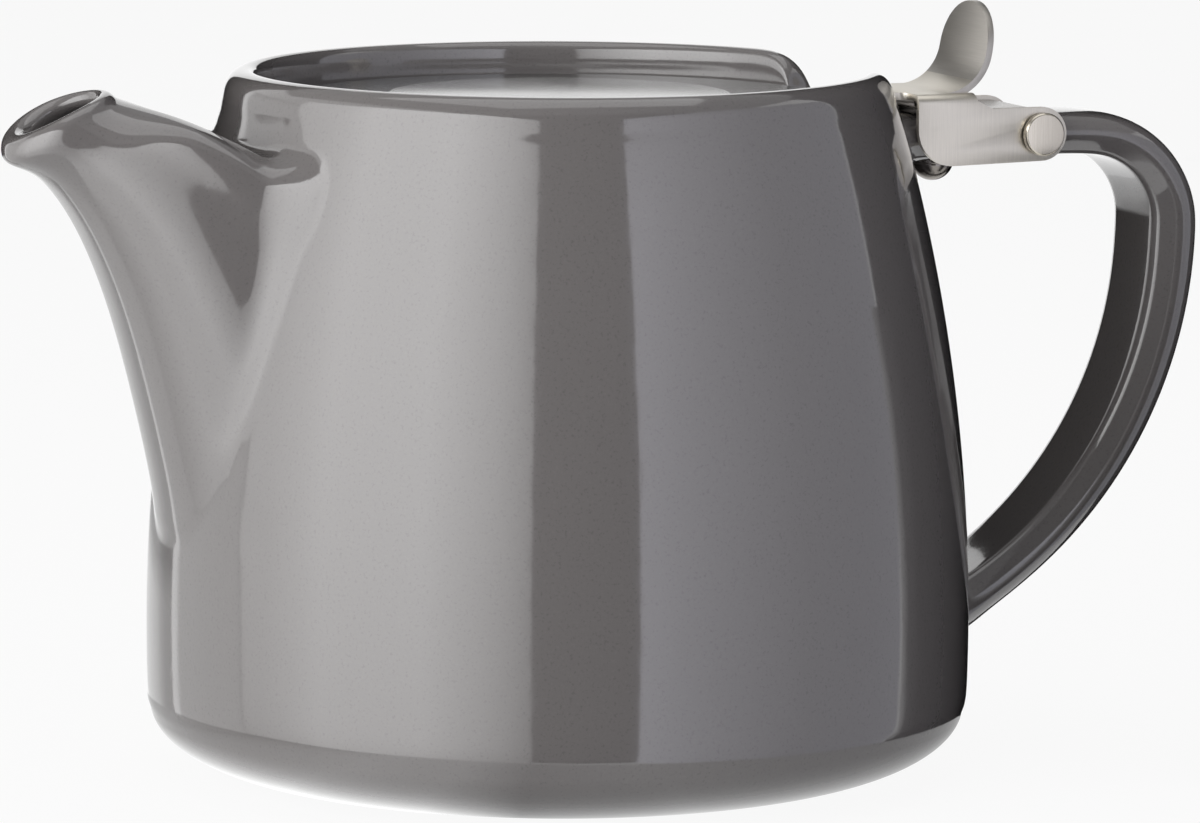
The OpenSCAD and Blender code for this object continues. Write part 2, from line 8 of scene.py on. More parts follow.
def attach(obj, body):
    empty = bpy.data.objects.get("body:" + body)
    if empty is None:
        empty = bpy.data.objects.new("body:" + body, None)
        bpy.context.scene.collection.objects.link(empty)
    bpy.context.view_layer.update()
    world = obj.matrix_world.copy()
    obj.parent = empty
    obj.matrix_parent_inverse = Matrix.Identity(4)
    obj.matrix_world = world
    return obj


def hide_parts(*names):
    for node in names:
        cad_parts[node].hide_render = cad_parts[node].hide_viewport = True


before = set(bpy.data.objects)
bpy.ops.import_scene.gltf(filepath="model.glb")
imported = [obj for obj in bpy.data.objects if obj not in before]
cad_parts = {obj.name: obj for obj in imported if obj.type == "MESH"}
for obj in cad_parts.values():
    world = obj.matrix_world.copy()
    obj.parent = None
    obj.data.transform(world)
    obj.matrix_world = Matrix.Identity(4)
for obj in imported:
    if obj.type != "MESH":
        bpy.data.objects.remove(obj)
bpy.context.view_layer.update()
bpy.context.scene.view_settings.view_transform = "Standard"

# Pot
# One slip-cast piece of stoneware: a low round body that narrows to the rim, with its spout and
# strap handle in the same casting, all under one thick glossy grey glaze.
mm = 0.001
belly_radius, belly_height, wall_arc, wall_thick = 54.5, 19, 243.8, 4.2


def wall_radius(z):
    """Outer radius of the body at a height, in millimetres."""
    return belly_radius - wall_arc + math.sqrt(wall_arc ** 2 - (z - belly_height) ** 2)


def only_selected(piece):
    """Makes one object the active and only selected one."""
    bpy.ops.object.select_all(action="DESELECT")
    piece.select_set(True)
    bpy.context.view_layer.objects.active = piece


def turned(name, points, steps):
    """A profile of radii and heights in millimetres, spun once round the pot's axis and closed."""
    mesh = bpy.data.meshes.new(name)
    mesh.from_pydata([(r * mm, 0, z * mm) for r, z in points],
                     [(i, i + 1) for i in range(len(points) - 1)], [])
    piece = bpy.data.objects.new(name, mesh)
    bpy.context.scene.collection.objects.link(piece)
    only_selected(piece)
    bpy.ops.object.mode_set(mode="EDIT")
    bpy.ops.mesh.select_all(action="SELECT")
    bpy.ops.mesh.spin(steps=steps, angle=2 * math.pi, center=(0, 0, 0), axis=(0, 0, 1))
    bpy.ops.mesh.select_all(action="SELECT")
    bpy.ops.mesh.remove_doubles(threshold=0.000002)
    bpy.ops.mesh.normals_make_consistent(inside=False)
    bpy.ops.object.mode_set(mode="OBJECT")
    return piece


def smooth(piece, levels=0, angle=180):
    """Applies a subdivision surface and shades the piece smooth up to an angle."""
    only_selected(piece)
    if levels:
        piece.modifiers.new("rounding", "SUBSURF")
        piece.modifiers["rounding"].levels = piece.modifiers["rounding"].render_levels = levels
        bpy.ops.object.modifier_apply(modifier="rounding")
    if angle < 180:
        bpy.ops.object.shade_smooth_by_angle(angle=math.radians(angle))
    else:
        bpy.ops.object.shade_smooth()


# The wall is turned as one closed profile of radii and heights: foot, outside, rim with its
# collar, seat for the infuser, inside.
foot = [(0, 1.4), (19, 1.4), (31, 1.3), (31.8, 0.9), (32.4, 0.2), (33.0, 0), (35.2, 0),
        (37.8, 0.08)]
round_centre, round_wide, round_high = 35.1, 19, 9
base_round = [(round_centre + round_wide * math.cos(math.radians(a)),
               round_high + round_high * math.sin(math.radians(a)))
              for a in (-74, -60, -45, -30, -15, 0)]
outside_rows = [14, 19, 24, 33, 41, 49, 57, 65, 73, 78.4, 82.45, 86.4, 89.2]
rim = [(43.8, 90.8), (43.1, 92.1), (42, 92.86), (40.9, 92.94), (40.15, 92.45), (39.85, 91.5),
       (39.8, 88)]
seat = [(39.75, 86.35), (39.5, 86.2), (36.9, 86.2), (36.55, 86), (36.5, 85.4), (36.5, 84.2),
        (36.8, 83.6)]
inside_rows = [78.2, 73, 65, 57, 49, 41, 33, 24, 17]
inside_floor = [(50, 14), (48.9, 9.8), (46.5, 6.6), (42, 5), (22, 5), (0, 5)]
body_steps = 96
outside = [(wall_radius(z), z) for z in outside_rows]
inside = [(wall_radius(z) - wall_thick, z) for z in inside_rows]
pot = turned("pot_glazed", foot + base_round + outside + rim + seat + inside + inside_floor,
             body_steps)

# The notch on the handle side: columns of the rim are gathered at its shoulders and pressed down.
notch_y = [0, 4.5, 9, 11.5, 12.6, 13.1, 14.3, 16.9, 20.4]
notch_rise = [0.05, 0.05, 0.05, 0.07, 0.2, 0.55, 0.84, 0.99, 1]
notch_floor, rim_middle = 86.4, 41.5
gather_start, gather_span = 74, 12
for v in pot.data.vertices:
    x, y, z = (c / mm for c in v.co)
    r, turn = math.hypot(x, y), math.degrees(math.atan2(y, x))
    column = round(abs(turn) / (360 / body_steps))
    if column < len(notch_y) and r > 39 and z > 76:
        wanted = math.degrees(math.asin(notch_y[column] / rim_middle))
        share = min(1, max(0, (z - gather_start) / gather_span))
        new = abs(turn) + (wanted - abs(turn)) * share
        new = math.radians(math.copysign(new, turn) if column else 0)
        if z > 86.3:
            z = notch_floor + (z - notch_floor) * notch_rise[column]
        v.co = (r * math.cos(new) * mm, r * math.sin(new) * mm, z * mm)

# Over the spout the outside of the rim is built up with clay and stands upright.
swell_most, swell_reach, swell_start, swell_span = 0.6, 26, 87, 3.8
for v in pot.data.vertices:
    x, y, z = v.co / mm
    r = math.hypot(x, y)
    if x < 0 and z > 88 and r > 41.6:
        aside = max(0, 1 - (math.degrees(math.atan2(y, -x)) / swell_reach) ** 2)
        swell = 1 + swell_most / r * aside * min(1, (z - swell_start) / swell_span)
        v.co.x, v.co.y = v.co.x * swell, v.co.y * swell


def depth_in_wall(p):
    """How far a point lies inside the outer face of the wall."""
    return wall_radius(min(p.z, 92)) - math.hypot(p.x, p.y)


def cut_opening(piece, side, columns, low, high, inner=False):
    """Deletes the wall's faces between two heights, within some columns of one side."""
    only_selected(piece)
    bpy.ops.object.mode_set(mode="EDIT")
    bpy.ops.mesh.select_mode(type="FACE")
    bpy.ops.mesh.select_all(action="DESELECT")
    bpy.ops.object.mode_set(mode="OBJECT")
    for f in piece.data.polygons:
        c = f.center / mm
        gap = depth_in_wall(c)
        turn = abs(math.degrees(math.atan2(c.y, c.x * side)))
        right_skin = 2.5 < gap < 6.5 if inner else gap < 2
        f.select = right_skin and low < c.z < high and turn < limit_of(columns, c.z, side)
    bpy.ops.object.mode_set(mode="EDIT")
    bpy.ops.mesh.delete(type="FACE")
    bpy.ops.object.mode_set(mode="OBJECT")


def limit_of(columns, z, side):
    """Half angle of an opening that many columns wide each way."""
    even = columns * 360 / body_steps
    if side > 0 and z > 76:
        share = min(1, max(0, (z - gather_start) / gather_span))
        return even + (math.degrees(math.asin(notch_y[columns] / rim_middle)) - even) * share
    return even


cut_opening(pot, -1, 7, 33, 86.4)
cut_opening(pot, -1, 8, 33, 78, inner=True)
cut_opening(pot, 1, 2, 78.4, 86.4)
cut_opening(pot, 1, 2, 14, 24)

# The spout: sections between the line of its top and the line of its keel, in millimetres.
tip, mouth_back = Vector((-76.4, 84.4)), Vector((-61.72, 91.25))
mouth_normal = Vector((-0.4226, 0, 0.9063))
mouth_half, lip_half, lip_arch = 7.5, 7.7, 0.8
root_gain, plan_bow = 12, 0.7
top_flat, flank_flat, flank_wedge, top_dip = 0.42, 0.34, 0.38, 0.35
top_line = [Vector(p) for p in ((-61.22, 90.95), (-53.62, 89.45), (-41.74, 83.05), (-30.4, 74.65))]
keel_line = [Vector(p) for p in ((-75.5, 82.4), (-65.8, 82.3), (-57.9, 58), (-54.1, 33))]


def curve_at(points, t):
    """Point on a cubic curve."""
    s = 1 - t
    return (points[0] * s ** 3 + points[1] * 3 * s * s * t + points[2] * 3 * s * t * t
            + points[3] * t ** 3)


def spout_point(t, a, thin):
    """Point of the spout's skin, t along its length and a round it from the keel.

    Thin is how far it lies inside the outer skin."""
    top, keel = curve_at(top_line, t), curve_at(keel_line, t)
    half = (keel - top).length / 2 - thin
    side = mouth_half + root_gain * t * (1 + plan_bow - plan_bow * t)
    return section_point(top, keel, half, side, thin, a, min(1, max(0, t) * 4))


def section_point(top, keel, half, side, thin, a, share):
    """Point of one section: an oval that a share makes flat on top and wedged at its flanks.

    Between the two crests of its top, the outside dips a little."""
    down, mid = (keel - top).normalized(), (top + keel) / 2
    c, s = math.cos(a), math.sin(a)
    power = 1 - share * (top_flat if c < 0 else flank_flat)
    u = math.copysign(abs(c) ** power, c) * half
    v = math.copysign(abs(s) ** power, s) * (side * (1 - share * flank_wedge * c) - thin)
    edge, strip = abs(math.sin(crest)), abs(s)
    if thin == 0 and c < 0 and strip < edge:
        dipped = -abs(math.cos(crest)) ** power * half + top_dip * (1 - (strip / edge) ** 2)
        u += (dipped - u) * share
    return Vector((mid.x + down.x * u, v, mid.y + down.y * u))


def mouth_point(a, thin, out):
    """Point of the lip round the mouth, moved out along the mouth's normal."""
    thin *= 1.15 + 0.3 * math.cos(a)
    p = section_point(mouth_back, tip, (mouth_back - tip).length / 2 - thin, lip_half, thin, a, 0)
    return p + mouth_normal * (out + lip_arch * (p.y / mouth_half) ** 2)


def root_of(a, thin, skin):
    """Share of the spout's length at which its skin meets the wall, thinned by a skin."""
    low, high = 0.0, 1.0
    for _ in range(30):
        t = (low + high) / 2
        p = spout_point(t, a, thin)
        if math.hypot(p.x, p.y) > wall_radius(p.z) - skin:
            low = t
        else:
            high = t
    return low


def on_wall(p, skin, away, amount):
    """A point pushed along the wall, away from a height on the spout's side, and laid on it."""
    r = wall_radius(p.z) - skin
    turn = math.atan2(p.y, -p.x)
    step = Vector((turn * r, p.z - away)).normalized() * amount
    turn, z = turn + step.x / r, p.z + step.y
    r = wall_radius(z) - skin
    return Vector((-r * math.cos(turn), r * math.sin(turn), z))


spout_sides = 44
crest_step, crest_rings = 3, 6
crest = 2 * math.pi * crest_step / spout_sides
angles = [2 * math.pi * i / spout_sides for i in range(spout_sides)]
root_thin = 3.2
outer_root = [root_of(a, 0, 0) for a in angles]
inner_root = [root_of(a, root_thin, wall_thick) for a in angles]

# Its rings run from the wall up the outside, over the lip and down the inside. The fillet at the
# wall is widest beside the top.
fillet_least, fillet_gain, fillet_at, fillet_spread = 1.0, 5.0, 54, 24
draw_back, outer_middle, inner_middle, inner_fillet = 0.022, 64, 60, 0.8
from_widest = [(abs(math.degrees(a) - 180) - fillet_at) / fillet_spread for a in angles]
fillet = [fillet_least + fillet_gain * math.exp(-w ** 2) for w in from_widest]
rings = [[on_wall(spout_point(t, a, 0), 0, outer_middle, f)
          for t, a, f in zip(outer_root, angles, fillet)]]
rings += [[spout_point(t * (k - draw_back * f), a, 0)
           for t, a, f in zip(outer_root, angles, fillet)] for k in (0.975, 0.89)]
rings += [[spout_point(t * k, a, 0) for t, a in zip(outer_root, angles)]
          for k in (0.65, 0.5, 0.36, 0.22, 0.1)]
under_lip = [math.cos(a / 2) ** 2 for a in angles]
rings += [[mouth_point(a, -0.1 - 0.35 * low, -0.4 - 1.3 * low)
           for a, low in zip(angles, under_lip)]]
rings += [[mouth_point(a, thin, out) for a in angles]
          for thin, out in ((0.1, 0.1), (0.5, 0.85), (1.5, 1.3), (2.5, 0.9), (2.9, -0.5))]
rings += [[spout_point(t * k, a, thin) for t, a in zip(inner_root, angles)]
          for k, thin in ((0.14, 2.5), (0.35, 2.7), (0.6, 3.0), (0.85, root_thin))]
rings += [[on_wall(spout_point(t, a, root_thin), wall_thick, inner_middle, inner_fillet)
           for t, a in zip(inner_root, angles)]]


def tube(name, rings, crests, last_crest):
    """An open tube through rings of points in millimetres: a cylinder cut and shaped at each.

    Lines of points named as crests, up to a last ring, stay sharper when the tube is smoothed."""
    sides, last = len(rings[0]), len(rings) - 1
    bpy.ops.object.select_all(action="DESELECT")
    bpy.ops.mesh.primitive_cylinder_add(vertices=sides, radius=1, depth=last,
                                        end_fill_type="NOTHING", location=(0, 0, last / 2))
    piece = bpy.context.object
    piece.name = name
    bpy.ops.object.transform_apply(location=True)
    bpy.ops.object.mode_set(mode="EDIT")
    for k in range(1, last):
        bpy.ops.mesh.select_all(action="SELECT")
        bpy.ops.mesh.bisect(plane_co=(0, 0, k), plane_no=(0, 0, 1))
    bpy.ops.object.mode_set(mode="OBJECT")
    crease = piece.data.attributes.new("crease_edge", "FLOAT", "EDGE")
    place = [(round(math.atan2(v.co.x, v.co.y) / (2 * math.pi) * sides) % sides, round(v.co.z))
             for v in piece.data.vertices]
    for e in piece.data.edges:
        (i, k), (j, m) = (place[n] for n in e.vertices)
        if i == j and i in crests and max(k, m) <= last_crest:
            crease.data[e.index].value = crests[i]
    for v, (i, k) in zip(piece.data.vertices, place):
        v.co = rings[k][i] * mm
    return piece


spout_top = spout_sides // 2
spout = tube("spout", rings, {spout_top - crest_step: 0.6, spout_top + crest_step: 0.6},
             crest_rings)

# The strap handle: a straight arm under the hinge, a tight elbow and a long bow back to the wall.
# Places are in millimetres, headings in degrees below the level.
strap_half, arm_thick, elbow_thick, root_thick = 7.8, 6, 7.8, 6.4
arm_height, arm_end = 82.5, 70.58
shoulder_r, shoulder_turn, shoulder_end, shoulder_drop = 60, 5, 75.81, 0.228
handle_reach = 87.28
bow_r, bow_middle, bow_turn, bow_thins = 56.2, 31.08, 155.3, 67
root_stretch = 1.1


def strap_ring(x, z, turn, thick, grow):
    """Section of the strap at a place and heading: crowned outside, flat inside, grown at will."""
    w, t = strap_half + grow, thick / 2 + grow
    half = [(w * 0.45, t), (w * 0.86, t * 0.8), (w, t * 0.05), (w * 0.77, -t * 0.88),
            (w * 0.45, -t * 0.9)]
    outline = [(0, t)] + half + [(0, -t * 0.9)] + [(-p, q) for p, q in reversed(half)]
    a = math.radians(turn)
    return [Vector((x + q * math.sin(a), p, z + q * math.cos(a))) for p, q in outline]


def strap_bend(middle_x, middle_z, radius, turn, thick, grow=0):
    """Section of the strap on a bend round a middle, at a heading."""
    a = math.radians(turn)
    return strap_ring(middle_x + radius * math.sin(a), middle_z + radius * math.cos(a),
                      turn, thick, grow)


def press_to_wall(section):
    """Moves a section's points out onto the wall, at their own heights."""
    for p in section:
        p.x = math.sqrt(wall_radius(p.z) ** 2 - p.y ** 2)


arm_root = strap_ring(46, arm_height, 0, arm_thick, 1.3)
for p in arm_root:
    p.z = min(p.z, 85.9)
press_to_wall(arm_root)
strap = [arm_root, strap_ring(48.0, arm_height, 0, arm_thick, 0.35)]
strap += [strap_ring(x, arm_height, 0, arm_thick, 0) for x in (50, 54, 58, 62, 66, arm_end)]
strap += [strap_bend(arm_end, arm_height - shoulder_r, shoulder_r, a, arm_thick)
          for a in (shoulder_turn / 2, shoulder_turn)]
elbow_r = (handle_reach - shoulder_end) / (1 - math.sin(math.radians(shoulder_turn)))
elbow_z = arm_height - shoulder_drop - elbow_r * math.cos(math.radians(shoulder_turn))
for a in (17, 30, 43, 56, 68, 79, 90):
    thick = arm_thick + (elbow_thick - arm_thick) * (a - shoulder_turn) / (90 - shoulder_turn)
    strap.append(strap_bend(handle_reach - elbow_r, elbow_z, elbow_r, a, thick))
for a, grow in ((97, 0), (104, 0), (111, 0), (118, 0), (125, 0), (132, 0), (139, 0), (145.5, 0),
                (150.5, 0.15), (153.2, 0.55)):
    thick = elbow_thick - (elbow_thick - root_thick) * (a - 90) / bow_thins
    strap.append(strap_bend(bow_middle, elbow_z, bow_r, a, thick, grow))
root_z = elbow_z + bow_r * math.cos(math.radians(bow_turn))
bow_root = strap_bend(bow_middle, elbow_z, bow_r, bow_turn, root_thick, 1.5)
for p in bow_root:
    p.z = root_z + (p.z - root_z) * root_stretch
press_to_wall(bow_root)
strap.append(bow_root)
handle = tube("handle", strap, {3: 0.5, 4: 0.95, 8: 0.95, 9: 0.5}, len(strap))


def open_loops(piece):
    """The loops of open edges of a mesh, as lists of vertex numbers in order."""
    cage = bmesh.new()
    cage.from_mesh(piece.data)
    beside = {}
    for e in cage.edges:
        if e.is_boundary:
            for v in e.verts:
                beside.setdefault(v.index, []).append(e.other_vert(v).index)
    cage.free()
    loops, seen = [], set()
    for start in beside:
        if start not in seen:
            loop, last, here = [], None, start
            while here not in seen:
                seen.add(here)
                loop.append(here)
                last, here = here, next(v for v in beside[here] if v != last)
            loops.append(loop)
    return loops


def lay_on(piece, loop, targets):
    """Moves the edge of an opening onto as many target points, keeping their order."""
    here = [piece.data.vertices[i].co / mm for i in loop]
    n = len(loop)
    _, start, step = min(
        (sum((here[k] - targets[(s + d * k) % n]).length_squared for k in range(n)), s, d)
        for s in range(n) for d in (1, -1))
    for k in range(n):
        piece.data.vertices[loop[k]].co = targets[(start + step * k) % n] * mm


# Each opening's edge is laid on the end of its tube.
for loop in open_loops(pot):
    edge = [pot.data.vertices[i].co / mm for i in loop]
    if len(loop) == spout_sides:
        on_outside = min(depth_in_wall(p) for p in edge) < 1
        lay_on(pot, loop, rings[0] if on_outside else rings[-1])
    else:
        middle = sum(edge, Vector()) / len(loop)
        lay_on(pot, loop, arm_root if middle.z > 50 else bow_root)

# The wall near the spout and near both ends of the strap is evened out and laid back on its round.
fixed = {i for loop in open_loops(pot) for i in loop}
near_spout, near_strap = 1.05, 26
wall_vertices = []
for v in pot.data.vertices:
    x, y, z = v.co / mm
    gap = depth_in_wall(v.co / mm)
    by_spout = abs(math.atan2(y, -x)) < near_spout
    by_strap = x > 0 and abs(y) < near_strap and (z < 45 or z > 60)
    v.select = v.index not in fixed and 10 < z < 86.3 and gap < 8 and (by_spout or by_strap)
    if v.select:
        wall_vertices.append((v.index, 0 if gap < wall_thick / 2 else wall_thick))
only_selected(pot)
bpy.ops.object.mode_set(mode="EDIT")
bpy.ops.mesh.select_mode(type="VERT")
bpy.ops.mesh.vertices_smooth(factor=0.5, repeat=14)
bpy.ops.object.mode_set(mode="OBJECT")
for i, skin in wall_vertices:
    co = pot.data.vertices[i].co
    r = (wall_radius(co.z / mm) - skin) * mm / math.hypot(co.x, co.y)
    co.x, co.y = co.x * r, co.y * r

# Body, spout and strap become one closed skin. Once it is rounded, what lies close to the turned
# wall is drawn onto it.
spout.select_set(True)
handle.select_set(True)
bpy.ops.object.join()
bpy.ops.object.mode_set(mode="EDIT")
bpy.ops.mesh.select_all(action="SELECT")
bpy.ops.mesh.remove_doubles(threshold=0.00001)
bpy.ops.mesh.select_all(action="SELECT")
bpy.ops.mesh.normals_make_consistent(inside=False)
bpy.ops.object.mode_set(mode="OBJECT")
smooth(pot, 2)
drawn_fully, drawn_least = 0.12, 0.4
for v in pot.data.vertices:
    x, y, z = v.co / mm
    off = depth_in_wall(v.co / mm)
    if 9.3 < z < 88 and abs(off) < drawn_least:
        share = 1 - min(1, max(0, (abs(off) - drawn_fully) / (drawn_least - drawn_fully))) ** 2
        scale = 1 + off * share / math.hypot(x, y)
        v.co.x, v.co.y = v.co.x * scale, v.co.y * scale
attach(pot, "pot")
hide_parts("pot")


class Shade:
    """One value inside a material. Sums, differences and products of it add Math nodes."""

    def __init__(self, tree, socket=None):
        self.tree, self.socket = tree, socket

    def node(self, kind, settings, inputs, out=0):
        """Adds a node, with its settings first and then the values or links of its sockets."""
        made = self.tree.nodes.new("ShaderNode" + kind)
        for key, value in settings.items():
            if key == "stops":
                while len(made.color_ramp.elements) < len(value):
                    made.color_ramp.elements.new(0.5)
                for stop, (place, tone) in zip(made.color_ramp.elements, value):
                    stop.position, stop.color = place, (tone, tone, tone, 1)
            else:
                setattr(made, key, value)
        for key, value in inputs.items():
            if isinstance(value, Shade):
                self.tree.links.new(value.socket, made.inputs[key])
            else:
                made.inputs[key].default_value = value
        return Shade(self.tree, made.outputs[out])

    def math(self, operation, other):
        """This value and another, joined by a Math node."""
        return self.node("Math", {"operation": operation}, {0: self, 1: other})

    def __add__(self, other):
        return self.math("ADD", other)

    def __sub__(self, other):
        return self.math("SUBTRACT", other)

    def __mul__(self, other):
        return self.math("MULTIPLY", other)

    def blend(self, a, b):
        """Colour a where this value is 0 and b where it is 1."""
        return self.node("Mix", {"data_type": "RGBA"}, {0: self, 6: a, 7: b}, out=2)

    def tint(self, colour):
        """A colour, made darker or lighter by this value."""
        return self.node("Mix", {"data_type": "RGBA", "blend_type": "MULTIPLY"},
                         {0: 1.0, 6: colour, 7: self}, out=2)

    def ramp(self, stops):
        """The tones of a colour ramp at this value."""
        return self.node("ValToRGB", {"stops": stops}, {"Fac": self})

    def bump(self, strength, depth):
        """A normal that takes this value as a height, as deep as stated in metres."""
        return self.node("Bump", {}, {"Strength": strength, "Distance": depth, "Height": self})


def finish_named(name):
    """A new material, its Shade to build with, and its Principled shader."""
    made = bpy.data.materials.new(name)
    made.use_nodes = True
    return made, Shade(made.node_tree), made.node_tree.nodes["Principled BSDF"]


def wire(shader, inputs):
    """Sets or links the inputs of a shader by name."""
    for key, value in inputs.items():
        if isinstance(value, Shade):
            value.tree.links.new(value.socket, shader.inputs[key])
        else:
            shader.inputs[key].default_value = value


glaze, shade, shader = finish_named("grey_glaze")
place = shade.node("TexCoord", {}, {}, out="Object")
grain = shade.node("TexNoise", {}, {"Vector": place, "Scale": 2600, "Detail": 2, "Roughness": 0.6})
cloud = shade.node("TexNoise", {}, {"Vector": place, "Scale": 60, "Detail": 3})
peel = shade.node("TexNoise", {}, {"Vector": place, "Scale": 420, "Detail": 1})
fleck = grain.ramp(((0.30, 0), (0.42, 1), (0.58, 1), (0.72, 1.35)))
wire(shader, {
    "Base Color": (fleck * 0.16 + cloud * 0.06 + 0.81).tint((0.172, 0.160, 0.157, 1)),
    "Roughness": cloud * 0.03 + 0.07,
    "IOR": 1.6,
    "Coat Weight": 1.0,
    "Coat Roughness": 0.05,
    "Coat IOR": 1.5,
    "Normal": (peel + grain * 0.15).bump(0.10, 0.0002)})
pot.data.materials.clear()
pot.data.materials.append(glaze)

# Infuser
# A deep basket of thin stainless sheet: a ring that hangs on the seat inside the rim, a drawn and
# punched sleeve welded under it and a punched base, all with a satin finish. The solids' own
# meshes have its true form and stay.
scratch_depth = 0.00003


def brushed(name, tone, along, rough, grain_size=5200, depth=0.25):
    """Brushed stainless: fine scratches along one axis, 0 to 2 for X to Z, and faint clouds."""
    made, shade, shader = finish_named(name)
    place = shade.node("TexCoord", {}, {}, out="Object")
    scale = [1.0, 1.0, 1.0]
    scale[along] = 0.025
    drawn = shade.node("Mapping", {}, {"Vector": place, "Scale": scale})
    lines = shade.node("TexNoise", {}, {"Vector": drawn, "Scale": grain_size, "Detail": 3})
    smear = shade.node("TexNoise", {}, {"Vector": place, "Scale": 90, "Detail": 2})
    wire(shader, {
        "Base Color": lines.blend(tuple(c * 0.86 for c in tone) + (1,),
                                  tuple(min(1, c * 1.1) for c in tone) + (1,)),
        "Metallic": 1.0,
        "Roughness": lines * 0.12 + smear * 0.08 + (rough - 0.1),
        "Normal": lines.bump(depth, scratch_depth)})
    return made


infuser_steel = brushed("infuser_steel", (0.64, 0.64, 0.63), 2, 0.28)
for node in ("infuser_ring", "infuser_sleeve", "infuser_base"):
    for slot_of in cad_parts[node].material_slots:
        slot_of.material = infuser_steel

# Lid
# A shallow dished disc of stainless sheet, pressed with one round step, its face turned smooth and
# its edge tumbled; it is welded to the lever and closes on the infuser's ring.


def softened(node, name, width, body, finish):
    """A copy of a solid with its edges rounded, in place of the plain one."""
    piece = bpy.data.objects.new(name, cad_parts[node].data.copy())
    bpy.context.scene.collection.objects.link(piece)
    only_selected(piece)
    bpy.ops.object.mode_set(mode="EDIT")
    bpy.ops.mesh.select_all(action="SELECT")
    bpy.ops.mesh.remove_doubles(threshold=0.000002)
    bpy.ops.mesh.select_all(action="SELECT")
    bpy.ops.mesh.dissolve_limited(angle_limit=math.radians(1))
    bpy.ops.object.mode_set(mode="OBJECT")
    rounding = piece.modifiers.new("edges", "BEVEL")
    rounding.limit_method, rounding.angle_limit = "ANGLE", math.radians(30)
    rounding.width, rounding.segments = width * mm, 2
    bpy.ops.object.modifier_apply(modifier="edges")
    smooth(piece, 0, 30)
    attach(piece, body)
    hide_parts(node)
    piece.data.materials.clear()
    piece.data.materials.append(finish)
    return piece


turned_face, shade, shader = finish_named("lid_steel")
place = shade.node("TexCoord", {}, {}, out="Object")
tool_marks = shade.node("TexWave", {"wave_type": "RINGS", "rings_direction": "Z"},
                        {"Vector": place, "Scale": 700, "Distortion": 3, "Detail": 3,
                         "Detail Scale": 1.5})
smear = shade.node("TexNoise", {}, {"Vector": place, "Scale": 70, "Detail": 2})
wire(shader, {
    "Base Color": tool_marks.blend((0.38, 0.38, 0.39, 1), (0.56, 0.56, 0.55, 1)),
    "Metallic": 1.0,
    "Roughness": tool_marks * 0.06 + smear * 0.1 + 0.10,
    "Normal": tool_marks.bump(0.12, scratch_depth)})
softened("lid_disc", "lid", 0.2, "lid", turned_face)

# Lever
# One folded strip of stainless: a neck welded under the lid, two side plates that turn on the pin
# and a thumb tab. The plates are brushed upright, the tab across and rougher; the tab's steel is
# also made darker than the plates', painted shade on the top of the strip.
lever_steel = brushed("lever_steel", (0.70, 0.66, 0.585), 2, 0.38, grain_size=9000)
tab_steel_painted_shade = brushed("tab_steel_painted_shade", (0.50, 0.475, 0.44), 1, 0.45, grain_size=7000, depth=0.6)
lever = softened("lid_lever", "lever", 0.16, "lid", lever_steel)
lever.data.materials.append(tab_steel_painted_shade)
tab_foot = 90.2 * mm
for face in lever.data.polygons:
    face.material_index = 1 if face.center.z > tab_foot else 0

# Saddle
# A small channel of stainless that sits over the strap handle's arm and carries the pin in its two
# ears; it is held by a rivet with a washer under the arm. Saddle, rivet and washer share one dark
# steel: painted shade of the gap under the lever and the arm.
painted_shade_steel = brushed("saddle_steel_painted_shade", (0.26, 0.24, 0.22), 2, 0.2, depth=0.08)
softened("hinge_saddle", "saddle", 0.12, "pot", painted_shade_steel)
softened("saddle_rivet", "rivet", 0.1, "pot", painted_shade_steel)
softened("rivet_washer", "washer", 0.1, "pot", painted_shade_steel)

# Pin
# A turned and polished stainless pin through lever, saddle and arm, with a flat head on the near
# side, closed by a cap pressed on the stub at its far end.
turned_steel = brushed("turned_steel", (0.68, 0.63, 0.54), 2, 0.24, depth=0.08)
softened("hinge_pin", "pin", 0.1, "pot", turned_steel)
softened("pin_cap", "cap", 0.1, "pot", turned_steel)

# Camera
# It stands where the photograph was taken from: 21.8 degrees round from the pot's side and a
# little above it, with a long lens.
facing, tilt, roll = math.radians(21.817), 0.13457, 0.0056
camera_data = bpy.data.cameras.new("camera")
camera_data.lens, camera_data.sensor_width = 229.2, 36
camera_data.clip_start, camera_data.clip_end = 0.05, 20
camera = bpy.data.objects.new("camera", camera_data)
bpy.context.scene.collection.objects.link(camera)
camera.matrix_world = (
    Matrix.Translation((-0.36650, -0.93042, 0.18280)) @ Matrix.Rotation(-facing, 4, "Z")
    @ Matrix.Rotation(math.pi / 2 - tilt, 4, "X") @ Matrix.Rotation(roll, 4, "Z"))
bpy.context.scene.camera = camera

# Floor and surround
# A plain pale floor under an even white surround. Only the glaze sees a glowing sheet close round
# the foot, whose emission is painted light on paper: brighter on the side of the large softbox and
# dimmest a little right of the middle.


def flat(name, size, place, down=False):
    """A level square, facing up or down."""
    bpy.ops.object.select_all(action="DESELECT")
    bpy.ops.mesh.primitive_plane_add(size=size, location=place,
                                     rotation=(math.pi if down else 0, 0, 0))
    piece = bpy.context.object
    piece.name = name
    bpy.ops.object.transform_apply(location=True, rotation=True)
    return piece


def lit(shade, tone, strength=1.0):
    """An emission of a tone at a strength."""
    return shade.node("Emission", {}, {"Color": tone, "Strength": strength})


def shown(shade, light):
    """Links a light or a mix of shaders to the surface of the material."""
    shade.tree.links.new(light.socket, shade.tree.nodes["Material Output"].inputs["Surface"])


white = (1, 1, 1, 1)
floor = flat("floor", 6, (0, 0, -0.0002))
paper, shade, shader = finish_named("pale_paper")
wire(shader, {"Base Color": (0.5, 0.5, 0.5, 1), "Roughness": 0.9, "Specular IOR Level": 0.1})
seen = shade.node("LightPath", {}, {}, out="Is Camera Ray")
shown(shade, shade.node("MixShader", {}, {0: seen * 0.88, 1: Shade(shade.tree, shader.outputs[0]),
                                          2: lit(shade, white, 1.05)}))
floor.data.materials.append(paper)
floor.visible_glossy = False

